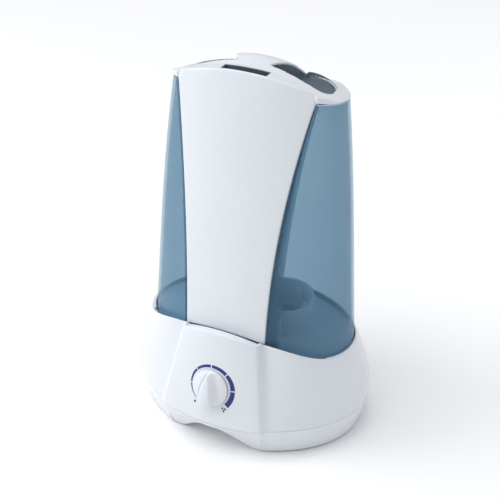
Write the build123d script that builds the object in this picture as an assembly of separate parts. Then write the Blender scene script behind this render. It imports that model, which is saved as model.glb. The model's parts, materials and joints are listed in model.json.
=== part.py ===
from build123d import *
import math
import os

# Ultrasonic cool mist humidifier. X is to the right, -Y is the front with the dial, +Z is up.
# The origin is on the floor, in the middle of the outer box.

# base: plan half widths and front-to-back places, by height
cover_bottom = 1.2          # underside of the bottom cover
seam_z = 33.0               # parting line between bottom cover and upper housing
base_mid_y = 10.0           # where the plan is widest
base_wide = 122.0           # half width just above the seam
base_foot_wide = 112.6      # half width on the floor
base_wide_z = 39.0
base_taper = 16.5 / 55.0 ** 2   # how the sides draw in above the widest place
base_back = 96.6
base_foot_back = 88.0
shell_wall = 2.5

# raised control panel at the front of the base
panel_lean = math.radians(14.6)
panel_z = 114.7             # top corners of the panel
panel_top_half = 38.2
panel_flare = 0.168         # how much wider per mm down
panel_top_y = -65.0         # middle of the face at panel_z
panel_bulge = 7.6
panel_crown = 6.0
chamfer_top = (41.2, -49.0)
chamfer_flare = 0.183
chamfer_slope = 0.307
chamfer_z = 111.6

# rim that the tank sits in
rim_low = 94.0
rim_high = 112.0
rim_gap = 0.8
deck_z = 84.0

# tank
tank_z = 87.5
tank_top = 334.0            # rim height near the front
tank_tilt = 0.17            # the rim drops this much per mm towards the back
tank_wall = 2.5
tray_z = 312.0              # roof of the water space, floor of the hand wells
tank_half = 103.3
tank_draw = 18.5            # how much the half width shrinks evenly from bottom to top
tank_round = 4.5            # and how much more it rounds in near the top
tank_mid_y, tank_mid_top_y = 12.0, 26.0     # where the plan is widest
tank_back, tank_back_top = 84.0, 78.0

# front tower
tower_z = 112.0
tower_rise = 232.0
tower_half = 40.9
tower_flare = 25.3
face_y = -51.2
face_lean = 20.3
face_sweep = 17.1
face_radius = 195.0
crown_z = 357.0
crown_drop = 13.0           # how far the vault falls from the middle to the tower's corners
crown_half = 66.0
seam_mid_y = 5.0            # plan arc between the tower's crescent and the cap
seam_end_y = -4.7
slot_half = 20.5
slot_front = 2.6
slot_depth = 8.2

# control knob and its potentiometer
dial_z = 68.4
knob_r = 18.7
knob_height = 15.0
knob_gap = 0.7
shaft_r = 3.0

# tank cap, valve and post, on one upright axis
valve_x, valve_y = 25.0, 27.0
collar_r = 31.0
collar_top = 118.0
neck_r = 28.0
neck_z = 79.0
cap_r = 31.0
cap_z = 74.5
stem_z = 70.5
post_top = 70.0

# water basin in the base
pool_floor = 62.0
pool_wall = 2.5
pool_x0, pool_x1 = -42.0, 64.0
pool_y0, pool_y1 = -42.0, 60.0
pool_r = 16.0
mist_y = -24.0              # transducer's place on the centre line
float_x, float_y = -22.0, 24.0
float_pin_r = 3.6
float_r = 13.0
float_low, float_tall = pool_floor + 0.6, 13.0
float_travel = 5.0
clip_z = float_low + float_tall + float_travel + 0.6
clip_thick = 1.6

# fan, on the bottom cover at the left
fan_x, fan_y = -70.0, 3.0
fan_size = 50.0
fan_z = 8.0
fan_thick = 15.0
blade_count = 7
blade_pitch = 38.0
floor_top = 4.0             # inside face of the bottom cover
inlet_z = 17.0              # cord inlet at the back

boss_places = [(88.0, 42.0), (-88.0, 42.0), (80.0, -34.0), (-80.0, -34.0)]
foot_places = [(62.0, -46.0), (-62.0, -46.0), (64.0, 56.0), (-64.0, 56.0)]


def lerp(a, b, t):
    return a + (b - a) * t


def cylinder(r, z0, z1, x=0.0, y=0.0):
    return Pos(x, y, (z0 + z1) / 2) * Cylinder(r, z1 - z0)


def tube(r_out, r_in, z0, z1, x=0.0, y=0.0):
    return cylinder(r_out, z0, z1, x, y) - cylinder(r_in, z0 - 1, z1 + 1, x, y)


def block(x0, x1, y0, y1, z0, z1):
    return Pos((x0 + x1) / 2, (y0 + y1) / 2, (z0 + z1) / 2) * Box(x1 - x0, y1 - y0, z1 - z0)


def mirrored(point):
    return (-point[0], point[1])


def loft_levels(plan, levels):
    faces = [Pos(0, 0, z) * plan(z) for z in levels]
    return loft(faces)


def y_prism(points_or_edges, y0, y1):
    # a front-view outline in X and Z, carried from y0 to y1
    face = Plane.XZ * make_face(points_or_edges)
    return Pos(0, y1, 0) * extrude(face, y1 - y0)


def x_prism(edges, half):
    # a side-view outline in Y and Z, carried to both sides
    return extrude(Plane.YZ * make_face(edges), half, both=True)


# ---- plans -------------------------------------------------------------------------------

def tower_t(z):
    return max(0.0, (z - tower_z) / tower_rise)


def tower_width(z):
    return tower_half + tower_flare * tower_t(z) ** 2


def face_mid(z):
    t = (z - tower_z) / tower_rise
    return face_y + face_lean * t + face_sweep * max(t, 0.0) ** 2


def face_edge(z):
    return face_mid(z) + tower_width(z) ** 2 / (2 * face_radius)


def channel_back(z):
    return lerp(-21.0, -1.8, (z - 94.0) / 246.0)


def tank_numbers(z):
    s = (z - 88.0) / 252.0
    half = tank_half - tank_draw * s - tank_round * max(s, 0.0) ** 4
    return max(s, 0.0), half, lerp(tank_mid_y, tank_mid_top_y, s), lerp(tank_back, tank_back_top, s)


def tank_side_edges(z, inset, corner):
    # half ellipse at the back and a fuller curve round each front corner
    s, half, mid, back = tank_numbers(z)
    side = (half - inset, mid)
    late = s ** 3
    lean_in = (half - inset, mid - lerp(32.0, 15.0, late) + inset * 0.4)
    shoulder_x = corner[0] + lerp(21.0, 9.0, late) - inset
    shoulder = (shoulder_x, corner[1] + lerp(4.3, 8.0, late) + inset * 0.5)
    rear = EllipticalCenterArc((0, mid), half - inset, back - mid - inset, 0, arc_size=180)
    right = Bezier(corner, shoulder, lean_in, side)
    left = Bezier(mirrored(side), mirrored(lean_in), mirrored(shoulder), mirrored(corner))
    return [right, rear, left]


def tank_plan(z, inset=0.0):
    # with the mist channel let into the front
    half = tower_width(z) + 0.4 + inset
    corner = (half, face_edge(z) + 0.6 + inset)
    back = channel_back(z) + inset
    edges = tank_side_edges(z, inset, corner)
    edges.append(Line(mirrored(corner), (-half, back)))
    edges.append(Line((-half, back), (half, back)))
    edges.append(Line((half, back), corner))
    return make_face(edges)


def seat_plan(z, grow):
    # the tank's outline with a plain front, for the recess that it sits in
    corner = (tower_width(z) + 0.4, face_edge(z) - 0.8 - grow)
    edges = tank_side_edges(z, -grow, corner)
    edges.append(ThreePointArc(mirrored(corner), (0, face_mid(z) - 1.2 - grow), corner))
    return make_face(edges)


def tower_plan(z, inset, back):
    half = tower_width(z) - inset
    edge_y = face_edge(z) + inset
    mid_y = face_mid(z) + inset
    front = ThreePointArc((-half, edge_y), (0, mid_y), (half, edge_y))
    return make_face([front, Line((half, edge_y), (half, back)), Line((half, back), (-half, back)),
                      Line((-half, back), (-half, edge_y))])


def base_half(z):
    if z < seam_z:
        return lerp(base_foot_wide, base_wide, (z / seam_z) ** 0.75)
    return base_wide - base_taper * (z - base_wide_z) ** 2


def base_rear(z):
    if z < seam_z:
        return lerp(base_foot_back, base_back, (z / seam_z) ** 0.75)
    return base_back - 10.5 * ((z - base_wide_z) / 55.0) ** 2


def panel_points(z):
    # chamfer's outer edge, panel's inner edge and the middle of its face
    down = chamfer_z - z
    outer = (chamfer_top[0] + chamfer_flare * down, chamfer_top[1] - chamfer_slope * down)
    drop = panel_z - z
    mid_y = panel_top_y - math.tan(panel_lean) * drop
    inner = (panel_top_half + panel_flare * drop, mid_y + panel_bulge)
    return outer, inner, mid_y


def skirt_points(z):
    t = z / seam_z
    outer = (lerp(48.4, 55.6, t), lerp(-66.8, -73.1, t))
    inner = (lerp(47.4, 51.9, t), lerp(-66.8, -78.7, t))
    return outer, inner, lerp(-67.2, -86.3, t)


def base_plan(z, inset=0.0):
    outer, inner, mid_y = panel_points(z) if z >= seam_z else skirt_points(z)
    outer = (outer[0] - inset, outer[1] + inset)
    inner = (inner[0] - inset, inner[1] + inset)
    side = (base_half(z) - inset, base_mid_y)
    rise = max(0.0, (z - seam_z) / 80.0)
    lean_in = (side[0], lerp(-25.0, -20.0, rise) + inset)
    if z < seam_z:
        shoulder = (lerp(85.0, 92.0, z / seam_z), lerp(-52.0, -58.0, z / seam_z))
    else:
        shoulder = (lerp(92.0, 73.0, rise), lerp(-58.0, -49.5, rise))
    shoulder = (shoulder[0] - inset, shoulder[1] + inset)
    rear = EllipticalCenterArc((0, base_mid_y), side[0], base_rear(z) - inset - base_mid_y, 0,
                               arc_size=180)
    edges = [
        ThreePointArc(mirrored(inner), (0, mid_y + inset), inner),
        Line(inner, outer),
        Bezier(outer, shoulder, lean_in, side),
        rear,
        Bezier(mirrored(side), mirrored(lean_in), mirrored(shoulder), mirrored(outer)),
        Line(mirrored(outer), mirrored(inner)),
    ]
    return make_face(edges)


# ---- base --------------------------------------------------------------------------------

def over_rim():
    # all that lies above the swooping rim, behind the front panel
    low = (-8.0, rim_low)
    high = (-49.5, rim_high + 1.6)
    curve = Bezier(high, (-38.0, 103.5), (-27.0, rim_low), low)
    edges = [curve, Line(low, (140, rim_low)), Line((140, rim_low), (140, 160)),
             Line((140, 160), (-49.5, 160)), Line((-49.5, 160), high)]
    return x_prism(edges, 150)


def over_panel():
    # all that lies above the crowned top edge of the front panel
    half = 60.0
    fall = panel_crown * (half / panel_top_half) ** 2
    top = panel_z + panel_crown
    arc = ThreePointArc((-half, top - fall), (0, top), (half, top - fall))
    edges = [arc, Line((half, top - fall), (half, 170)), Line((half, 170), (-half, 170)),
             Line((-half, 170), (-half, top - fall))]
    return y_prism(edges, -120, -49.4)


def panel_frame():
    # plane on the panel's face at the dial, looking out along the panel's normal
    mid_y = panel_points(dial_z)[2]
    normal = (0, -math.cos(panel_lean), math.sin(panel_lean))
    return Plane(origin=(0, mid_y, dial_z), x_dir=(1, 0, 0), z_dir=normal)


def base_shell():
    outer = loft_levels(base_plan, [seam_z, 50, 72, 96, 124])
    outer = outer - over_rim() - over_panel()
    room = loft_levels(lambda z: base_plan(z, shell_wall), [seam_z - 1, 50, 72, 96, 111])
    seat_wall = loft_levels(lambda z: seat_plan(z, rim_gap + 2.2), [deck_z - 2, 100, 126])
    seat = loft_levels(lambda z: seat_plan(z, rim_gap), [deck_z, 100, 126])
    shell = outer - (room - seat_wall) - seat
    shell = shell - block(pool_x0 - 5, pool_x1 + 5, pool_y0 - 3, pool_y1 + 5, deck_z - 3, deck_z + 1)
    shell = shell - block(fan_x - 25, pool_x0, fan_y - 18, fan_y + 18, deck_z - 3, deck_z + 1)
    for x, y in boss_places:
        shell = shell + (cylinder(4.2, seam_z - 2, deck_z - 1, x, y) & outer)
        shell = shell - cylinder(1.55, seam_z - 3, seam_z + 18, x, y)
    hole = panel_frame() * Pos(0, 0, -3) * Cylinder(4.1, 12)
    return shell - hole


def arch_tunnel(grow, y_end):
    half, top = 43.0 + grow, 25.5 + grow
    low = cover_bottom - 3.0
    right = Bezier((0, top), (20, top), (27 + grow, 3.5 + grow), (half, low))
    left = Bezier((-half, low), (-27 - grow, 3.5 + grow), (-20, top), (0, top))
    return y_prism([right, left, Line((half, low), (-half, low))], -110, y_end)


def grille_slots(x, y):
    slots = [Pos(x, y + 6.0 * i, cover_bottom) * Box(chord, 3.0, 12)
             for i, chord in zip(range(-3, 4), [22, 34, 40, 42, 40, 34, 22])]
    return slots


def bottom_cover():
    outer = loft_levels(base_plan, [0.6, 12, 22, seam_z - 0.01])
    outer = outer - block(-150, 150, -150, 150, -5, cover_bottom)
    room = loft_levels(lambda z: base_plan(z, shell_wall), [0.6, 12, 22, seam_z - 0.01])
    room = room - block(-150, 150, -150, 150, -5, floor_top)
    room = room + block(-150, 150, -150, 150, seam_z - 0.4, seam_z + 5)
    room = room - arch_tunnel(2.4, -40.0)
    cover = outer - room - arch_tunnel(0.0, -42.4)
    for x, y in boss_places:
        cover = cover + cylinder(4.6, cover_bottom, seam_z - 2.2, x, y)
        cover = cover - cylinder(3.4, 0, 14, x, y) - cylinder(1.8, 0, seam_z, x, y)
    for x, y in foot_places:
        cover = cover - cylinder(7.2, 0, 3.0, x, y)
    for slot in grille_slots(fan_x, fan_y):
        cover = cover - slot
    for x, y in fan_corners():
        cover = cover + tube(2.6, 1.05, floor_top - 0.5, fan_z, x, y)
    for x, y in board_corners():
        cover = cover + tube(3.0, 1.05, floor_top - 0.5, 12.0, x, y)
    for x, y in transformer_corners():
        cover = cover + tube(3.2, 1.3, floor_top - 0.5, 8.0, x, y)
    inlet_y = base_rear(inlet_z)
    seat = Pos(0, inlet_y + 9.4, inlet_z) * Rot(90, 0, 0) * Cylinder(7.8, 20)
    return cover - seat - Pos(0, inlet_y, inlet_z) * Rot(90, 0, 0) * Cylinder(5.1, 20)


def rubber_feet():
    return [cylinder(7.0, 0, 2.9, x, y) for x, y in foot_places]


def housing_screws():
    return [cylinder(3.1, 11.6, 13.9, x, y) + cylinder(1.5, 13.9, 46, x, y) for x, y in boss_places]


def cord_grommet():
    y = base_rear(inlet_z)
    body = Pos(0, y - 2.5, inlet_z) * Rot(90, 0, 0) * Cylinder(4.9, 9)
    flange = Pos(0, y + 0.5, inlet_z) * Rot(90, 0, 0) * Cylinder(7.5, 2.0)
    bore = Pos(0, y, inlet_z) * Rot(90, 0, 0) * Cylinder(3.2, 30)
    return body + flange - bore


# ---- dial --------------------------------------------------------------------------------

def on_panel(shape):
    return panel_frame() * shape


def control_knob():
    skirt = Pos(0, 0, knob_gap + 3.0) * Cylinder(knob_r, 6.0)
    skirt = fillet(skirt.edges().sort_by(Axis.Z)[-1], 2.0)
    rounded = Pos(0, 0, knob_gap + knob_height / 2) * Cylinder(knob_r - 1.2, knob_height)
    grip = rounded & Pos(0, 0, knob_gap + knob_height / 2) * Box(13.0, 2 * knob_r, knob_height)
    knob = skirt + fillet(grip.edges().filter_by(GeomType.LINE).group_by(Axis.Z)[-1], 2.2)
    socket = Pos(0, 0, 5.6) * Cylinder(shaft_r, 11.4)
    hollow = Pos(0, 0, 2.0) * (Cylinder(knob_r - 2.0, 4.6) - Cylinder(shaft_r + 4.0, 10))
    nut_room = Pos(0, 0, 1.5) * Cylinder(6.6, 4.2)
    return on_panel(knob - hollow - nut_room - socket)


def pot_shaft():
    shaft = Pos(0, 0, 0.6) * Cylinder(shaft_r, 21.4)
    return on_panel(shaft)


def potentiometer_body():
    can = Pos(0, 0, -8.6) * Cylinder(8.5, 8.0)
    bush = Pos(0, 0, -1.5) * Cylinder(3.9, 6.3)
    bore = Pos(0, 0, -2.0) * Cylinder(shaft_r + 0.05, 16.4)
    return on_panel(can + bush - bore)


def pot_nut():
    hexagon = extrude(RegularPolygon(5.6, 6), 1.2)
    return on_panel(Pos(0, 0, 0.15) * hexagon - Cylinder(3.95, 12))


def control_board():
    board = Pos(0, 0, -13.5) * Box(44, 30, 1.6)
    return on_panel(board)


# ---- basin and mist generator ------------------------------------------------------------

def rounded_block(x0, x1, y0, y1, z0, z1, r):
    plan = Pos((x0 + x1) / 2, (y0 + y1) / 2, z0) * RectangleRounded(x1 - x0, y1 - y0, r)
    return extrude(plan, z1 - z0)


def basin():
    flange = extrude(Pos(0, 0, deck_z) * seat_plan(deck_z, rim_gap - 0.5), 2.0)
    tub = rounded_block(pool_x0 - pool_wall, pool_x1 + pool_wall, pool_y0 - pool_wall,
                        pool_y1 + pool_wall, pool_floor - pool_wall, deck_z + 1, pool_r + pool_wall)
    water = rounded_block(pool_x0, pool_x1, pool_y0, pool_y1, pool_floor, deck_z + 5, pool_r)
    tray = flange + tub - water
    for x, y in [(-78, 44), (80, 40), (-86, 0), (86, 0), (0, 74)]:
        tray = tray + cylinder(4, deck_z + 1, tank_z - 0.2, x, y)
    post = cylinder(2.4, pool_floor - 1, post_top, valve_x, valve_y)
    for angle in (0, 90):
        fin = Pos(valve_x, valve_y, pool_floor + 2.5) * Rot(0, 0, angle) * Box(16, 1.6, 6)
        post = post + fin
    tray = tray + post
    tray = tray + cylinder(float_pin_r, pool_floor - 1, clip_z + clip_thick + 0.4, float_x, float_y)
    tray = tray - cylinder(8.5, pool_floor - 5, pool_floor + 1, 0, mist_y)
    window = block(pool_x0 - 6, pool_x0 + 4, fan_y - 13, fan_y + 13, 74, 82)
    for x, y in retainer_holes():
        tray = tray + cylinder(2.6, 56, pool_floor - 1, x, y)
        tray = tray - cylinder(1.05, 52, pool_floor - 1.2, x, y)
    return tray - window


def retainer_holes():
    return [(15.0 * math.cos(a), mist_y + 15.0 * math.sin(a))
            for a in [math.radians(90 + 120 * i) for i in range(3)]]


def transducer_gasket():
    return tube(12.0, 8.5, 57.5, pool_floor - pool_wall, 0, mist_y)


def transducer_disc():
    return cylinder(10.0, 56.3, 57.5, 0, mist_y)


def transducer_retainer():
    ring = tube(18.0, 7.5, 53.0, 56.0, 0, mist_y) + tube(12.0, 7.5, 55.5, 56.3, 0, mist_y)
    for x, y in retainer_holes():
        ring = ring - cylinder(1.4, 50, 60, x, y)
    return ring


def screws(places, head_z, up=True, shank=1.0, head=2.2, length=7.0, head_height=1.5):
    solids = []
    for x, y in places:
        way = 1 if up else -1
        head_low, head_high = sorted((head_z, head_z - way * head_height))
        shank_low, shank_high = sorted((head_z, head_z + way * length))
        solids.append(cylinder(head, head_low, head_high, x, y)
                      + cylinder(shank, shank_low, shank_high, x, y))
    return solids


def retainer_screws():
    return screws(retainer_holes(), 53.0, length=6.5)


def float_piece():
    return tube(float_r, float_pin_r + 0.4, float_low, float_low + float_tall, float_x, float_y)


def float_clip():
    return tube(6.5, float_pin_r, clip_z, clip_z + clip_thick, float_x, float_y)


def reed_sensor():
    return block(float_x - 8, float_x + 8, float_y - 4, float_y + 4, 52.0, pool_floor - pool_wall)


# ---- air path ----------------------------------------------------------------------------

def corners_of(x, y, dx, dy):
    return [(x + sx * dx, y + sy * dy) for sx in (-1, 1) for sy in (-1, 1)]


def fan_corners():
    return corners_of(fan_x, fan_y, 20.0, 20.0)


def fan_housing():
    top = fan_z + fan_thick
    frame = rounded_block(fan_x - 25, fan_x + 25, fan_y - 25, fan_y + 25, fan_z, top, 4)
    frame = frame - cylinder(23.6, fan_z - 1, top + 1, fan_x, fan_y)
    arms = cylinder(11.0, fan_z, fan_z + 3.5, fan_x, fan_y)
    spoke = Pos(12.2, 0, 0) * Box(24.4, 3, 2.4)
    for i in range(3):
        arms = arms + Pos(fan_x, fan_y, fan_z + 1.2) * Rot(0, 0, 30 + 120 * i) * spoke
    frame = frame + arms - cylinder(1.05, fan_z + 0.8, fan_z + 9, fan_x, fan_y)
    for x, y in fan_corners():
        frame = frame - cylinder(1.7, fan_z - 1, top + 1, x, y)
    return frame


def fan_shaft():
    return cylinder(1.0, fan_z + 1.0, fan_z + 13.0, fan_x, fan_y)


def fan_impeller():
    hub = cylinder(10.5, fan_z + 4.2, fan_z + 14.0, fan_x, fan_y)
    rotor = hub
    blade = Pos(16.0, 0, 0) * Rot(blade_pitch, 0, 0) * Box(13.0, 12.0, 1.3)
    for i in range(blade_count):
        rotor = rotor + Pos(fan_x, fan_y, fan_z + 9.2) * Rot(0, 0, i * 360 / blade_count) * blade
    rotor = rotor & cylinder(22.8, fan_z + 4.2, fan_z + 14.0, fan_x, fan_y)
    return rotor - cylinder(1.0, fan_z + 1.0, fan_z + 13.0, fan_x, fan_y)


def fan_screws():
    return screws(fan_corners(), fan_z + fan_thick, up=False, length=17.5, head=2.6)


def air_duct():
    low, high = fan_z + fan_thick + 1.8, 82.6
    x0, x1 = fan_x - 23.0, pool_x0 - pool_wall - 0.4
    y0, y1 = fan_y - 16.0, fan_y + 16.0
    wall = 1.5
    duct = block(x0, x1, y0, y1, low + wall, high)
    duct = duct - block(x0 + wall, x1 - wall, y0 + wall, y1 - wall, low, high - wall)
    duct = duct + block(x0, x1, fan_y - fan_size / 2, fan_y + fan_size / 2, low, low + wall)
    duct = duct - block(x0 + wall, x1 - wall, y0 + wall, y1 - wall, low - 1, low + 3)
    return duct - block(x1 - 5, x1 + 5, fan_y - 13, fan_y + 13, 74, high - wall)


# ---- electronics -------------------------------------------------------------------------

def board_corners():
    return corners_of(0.0, -8.0, 31.0, 19.0)


def driver_board():
    board = block(-35, 35, -31, 15, 12.0, 13.6)
    board = board + block(-28, -14, -4, 8, 13.6, 26) + block(14, 30, -24, -12, 13.6, 24)
    board = board + cylinder(5, 13.6, 28, -20, -20) + cylinder(4, 13.6, 24, 24, 4)
    for x, y in board_corners():
        board = board - cylinder(1.3, 10, 15, x, y)
    return board


def heat_sink():
    sink = block(-8, 8, -26, 10, 13.6, 16.0)
    for i in range(5):
        sink = sink + block(-8 + 3.6 * i, -6.4 + 3.6 * i, -26, 10, 15.5, 38)
    return sink


def board_screws():
    return screws(board_corners(), 13.6, up=False, length=7.0)


def transformer_corners():
    return corners_of(70.0, 6.0, 14.0, 26.0)


def transformer_core():
    core = block(48, 92, -12, 24, 8.0, 44.0)
    core = core + block(50, 90, -24, 36, 8.0, 9.5)
    for x0, x1 in ((55, 63), (77, 85)):
        core = core - block(x0, x1, -14, 26, 15, 37)
    for x, y in transformer_corners():
        core = core - cylinder(1.7, 6, 12, x, y)
    return core


def transformer_winding():
    wound = block(55.2, 84.8, -19, 31, 15.2, 36.8)
    return wound - block(63.0, 77.0, -12.0, 24.0, 10, 45)


def transformer_screws():
    return screws(transformer_corners(), 9.5, up=False, shank=1.25, head=3.0, length=4.5)


# ---- tank --------------------------------------------------------------------------------

def rim_plane_cut(z_front, keep_below=True):
    # a block above (or below) the plane of the tilted rim
    slope = math.degrees(math.atan(tank_tilt))
    way = 1 if keep_below else -1
    return Pos(0, 5, z_front) * Rot(-slope, 0, 0) * Pos(0, 0, way * 60) * Box(400, 400, 120)


tank_levels = [tank_z + 2.5, 150, 215, 280, 345]


def tank_body():
    outer = loft_levels(tank_plan, tank_levels)
    outer = outer - rim_plane_cut(tank_top)
    inside = loft_levels(lambda z: tank_plan(z, tank_wall), [tank_levels[0] - 1] + tank_levels[1:])
    roof = block(-150, 150, -100, 150, tray_z, tray_z + tank_wall)
    return outer - (inside - roof)


def tank_floor():
    plate = extrude(Pos(0, 0, tank_z) * tank_plan(tank_z + 2.5), 2.5)
    plate = plate - cylinder(neck_r - 2.5, tank_z - 1, tank_z + 5, valve_x, valve_y)
    collar = tube(collar_r, collar_r - 2.5, tank_z + 2.0, collar_top, valve_x, valve_y)
    collar = collar + tube(collar_r, neck_r - 2.5, tank_z + 1.0, tank_z + 2.5, valve_x, valve_y)
    notch = Pos(collar_r, 0, 0) * Box(12, 12, 8)
    for angle in (60, 240):
        collar = collar - Pos(valve_x, valve_y, tank_z + 6.5) * Rot(0, 0, angle) * notch
    neck = tube(neck_r, neck_r - 2.5, neck_z, tank_z + 1, valve_x, valve_y)
    y0 = channel_back(collar_top) + tank_wall + 0.3
    step = block(-44, 38, y0, y0 + 11.5, tank_z + 1, collar_top - 6)
    step = step - block(-41.5, 35.5, y0 + 2.5, y0 + 9.0, tank_z - 2, collar_top - 8.5)
    hollow = block(-41.5, 35.5, y0 + 2.5, y0 + 9.0, tank_z - 2, tank_z + 3)
    return plate + collar + neck + step - hollow


def valve_axis(shape):
    return Pos(valve_x, valve_y, 0) * shape


def tank_cap():
    cup = cylinder(cap_r, cap_z, tank_z - 1.0)
    cup = cup - cylinder(neck_r + 0.5, cap_z + 2.5, tank_z)
    for i in range(24):
        groove = Rot(0, 0, 15 * i) * Pos(cap_r + 0.5, 0, (cap_z + tank_z) / 2) * Cylinder(1.3, 20)
        cup = cup - groove
    cage = tube(7.0, 2.1, 94.0, 96.5)
    for i in range(3):
        leg = Rot(0, 0, 120 * i) * Pos(14.0, 0, 0) * block(-1.4, 1.4, -2.5, 2.5, cap_z + 1, 96.5)
        arm = Rot(0, 0, 120 * i) * block(5.0, 15.4, -2.5, 2.5, 94.0, 96.5)
        cage = cage + leg + arm
    return valve_axis(cup + cage - cylinder(7.0, cap_z - 1, cap_z + 3))


def cap_gasket():
    return valve_axis(tube(neck_r, neck_r - 3.0, cap_z + 2.5, neck_z))


def valve_seal():
    return valve_axis(tube(10.0, 2.5, cap_z + 2.5, cap_z + 4.0))


def valve_plunger():
    rod = cylinder(2.5, stem_z, cap_z + 4.5) + cylinder(10.5, cap_z + 4.0, cap_z + 5.6)
    return valve_axis(rod + cylinder(2.0, cap_z + 5.0, 98.5))


def valve_spring():
    return valve_axis(tube(4.2, 2.6, cap_z + 5.8, 93.8))


# ---- tower and cap -----------------------------------------------------------------------

def over_vault(lower=0.0):
    # all that lies above the crowned top of the tower
    half = 90.0
    fall = crown_drop * (half / crown_half) ** 2
    top = crown_z - lower
    arc = ThreePointArc((-half, top - fall), (0, top), (half, top - fall))
    edges = [arc, Line((half, top - fall), (half, 400)), Line((half, 400), (-half, 400)),
             Line((-half, 400), (-half, top - fall))]
    return y_prism(edges, -80, 40)


def seam_zone(shift, z0, z1):
    # plan in front of the seam between the tower's crescent and the cap
    half = crown_half + 0.6 + shift
    end_y = seam_end_y + shift
    arc = ThreePointArc((half, end_y), (0, seam_mid_y + shift), (-half, end_y))
    edges = [arc, Line((-half, end_y), (-half, -60)), Line((-half, -60), (half, -60)),
             Line((half, -60), (half, end_y))]
    return extrude(Pos(0, 0, z0) * make_face(edges), z1 - z0)


def slot_zone(grow, z0, z1):
    # the mist outlet: a strip that follows the front face
    front = face_mid(crown_z) + slot_front - grow
    back = front + slot_depth + 2 * grow
    half = slot_half + grow
    sag = half ** 2 / (2 * face_radius)
    edges = [ThreePointArc((-half, front + sag), (0, front), (half, front + sag)),
             Line((half, front + sag), (half, back + sag)),
             ThreePointArc((half, back + sag), (0, back), (-half, back + sag)),
             Line((-half, back + sag), (-half, front + sag))]
    return extrude(Pos(0, 0, z0) * make_face(edges), z1 - z0)


def under_tower():
    # all that lies below the tower's arched bottom edge
    half = 60.0
    fall = 5.0 * (half / tower_half) ** 2
    top = tower_z + 5.0
    arc = ThreePointArc((-half, top - fall), (0, top), (half, top - fall))
    edges = [arc, Line((half, top - fall), (half, 60)), Line((half, 60), (-half, 60)),
             Line((-half, 60), (-half, top - fall))]
    return y_prism(edges, -100, 60)


def tower_front():
    levels = [100, 150, 205, 260, 315, 366]
    outer = loft_levels(lambda z: tower_plan(z, 0.0, 30), levels)
    inner = loft_levels(lambda z: tower_plan(z, 2.4, 36), [98] + levels[1:])
    # side flanges, deep at the bottom and shallow at the top
    behind = x_prism([Line((face_edge(100) + 9, 90), (face_edge(tank_top) + 1.2, tank_top + 1)),
                      Line((face_edge(tank_top) + 1.2, tank_top + 1), (80, tank_top + 1)),
                      Line((80, tank_top + 1), (80, 90)), Line((80, 90), (face_edge(100) + 9, 90))], 150)
    shell = outer - inner - behind
    roof = outer & (over_vault(2.4) - over_vault(0.0))
    lip_zone = seam_zone(0.0, tank_top + 1.5, 400) - seam_zone(-2.4, tank_top, 401)
    lip = (outer & lip_zone) - over_vault(1.0) - slot_zone(1.2, 300, crown_z - 4.0)
    tower = (shell & seam_zone(0.0, 50, 400)) + (roof & seam_zone(0.0, 300, 400)) + lip
    return tower - over_vault(0.0) - under_tower() - slot_zone(0.0, 340, 400)


def mist_nozzle():
    # open-ended liner that hangs under the slot
    z_top = crown_z - 5.2
    return slot_zone(0.9, tank_top + 2.5, z_top) - slot_zone(-0.4, tank_top, z_top + 1)


cap_sections = [  # place along Y, height over the middle, height at the sides
    (-14.0, crown_z, 0.0),
    (14.0, crown_z + 2.0, 2.0),
    (30.0, crown_z + 1.5, 5.5),
    (44.0, crown_z - 7.0, 9.0),
    (60.0, crown_z - 21.0, 12.5),
    (90.0, crown_z - 32.0, 19.0),
]


def cap_top(lower):
    faces = []
    for y, mid_z, fall in cap_sections:
        side_z = crown_z - crown_drop - fall - lower
        mid = mid_z - lower
        quarter = mid - (mid - side_z) * 0.28
        outer_z = side_z - 8.0
        top = Spline((-94, outer_z), (-crown_half, side_z), (-crown_half / 2, quarter), (0, mid),
                     (crown_half / 2, quarter), (crown_half, side_z), (94, outer_z))
        edges = [top, Line((94, outer_z), (94, 300)), Line((94, 300), (-94, 300)),
                 Line((-94, 300), (-94, outer_z))]
        faces.append(Pos(0, y, 0) * (Plane.XZ * make_face(edges)))
    return loft(faces)


def well_hole(side, grow=0.0):
    tip = (side * (15.0 - grow), 13.0 - grow)
    front = (side * 62.0, 10.0 - grow)
    right = (side * (69.5 + grow), 23.0)
    rear = (side * 60.0, 46.0 + grow)
    low = (side * 31.0, 60.0 + grow)
    edges = [Line(tip, front),
             Bezier(front, (side * (68.0 + grow), 10.0 - grow), (side * (70.5 + grow), 16.0), right),
             Bezier(right, (side * (68.5 + grow), 32.0), (side * (66.0 + grow), 40.0), rear),
             Bezier(rear, (side * 50.0, 56.0 + grow), (side * 38.0, 62.0 + grow), low),
             Bezier(low, (side * (29.0 - grow), 46.0), (side * (29.0 - grow), 30.0), tip)]
    return extrude(Pos(0, 0, 300) * make_face(edges), 100)


def cap_plan(grow):
    def plan(z):
        corner = (crown_half + 0.6, face_edge(340) + 0.6 - grow)
        edges = tank_side_edges(332, -grow, corner)
        edges.append(Line(mirrored(corner), corner))
        return make_face(edges)
    return plan


def top_cap():
    low = 300
    column = extrude(Pos(0, 0, low) * cap_plan(1.0)(0), 80)
    room = extrude(Pos(0, 0, low) * cap_plan(-1.5)(0), 80)
    front = seam_zone(0.3, low - 1, 400)
    solid = (column & cap_top(0.0)) - rim_plane_cut(tank_top + 2.5, keep_below=False) - front
    cavity = (room & cap_top(3.0)) - seam_zone(2.8, low - 1, 400)
    cap = solid - cavity
    cap = cap - well_hole(1) - well_hole(-1)
    return cap


def save(name, shape):
    solids = shape if isinstance(shape, list) else [shape]
    parts = [solid for item in solids for solid in item.solids()]
    result = parts[0] if len(parts) == 1 else Compound(children=parts)
    result.label = name
    export_step(result, f"parts/{name}.step")


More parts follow.
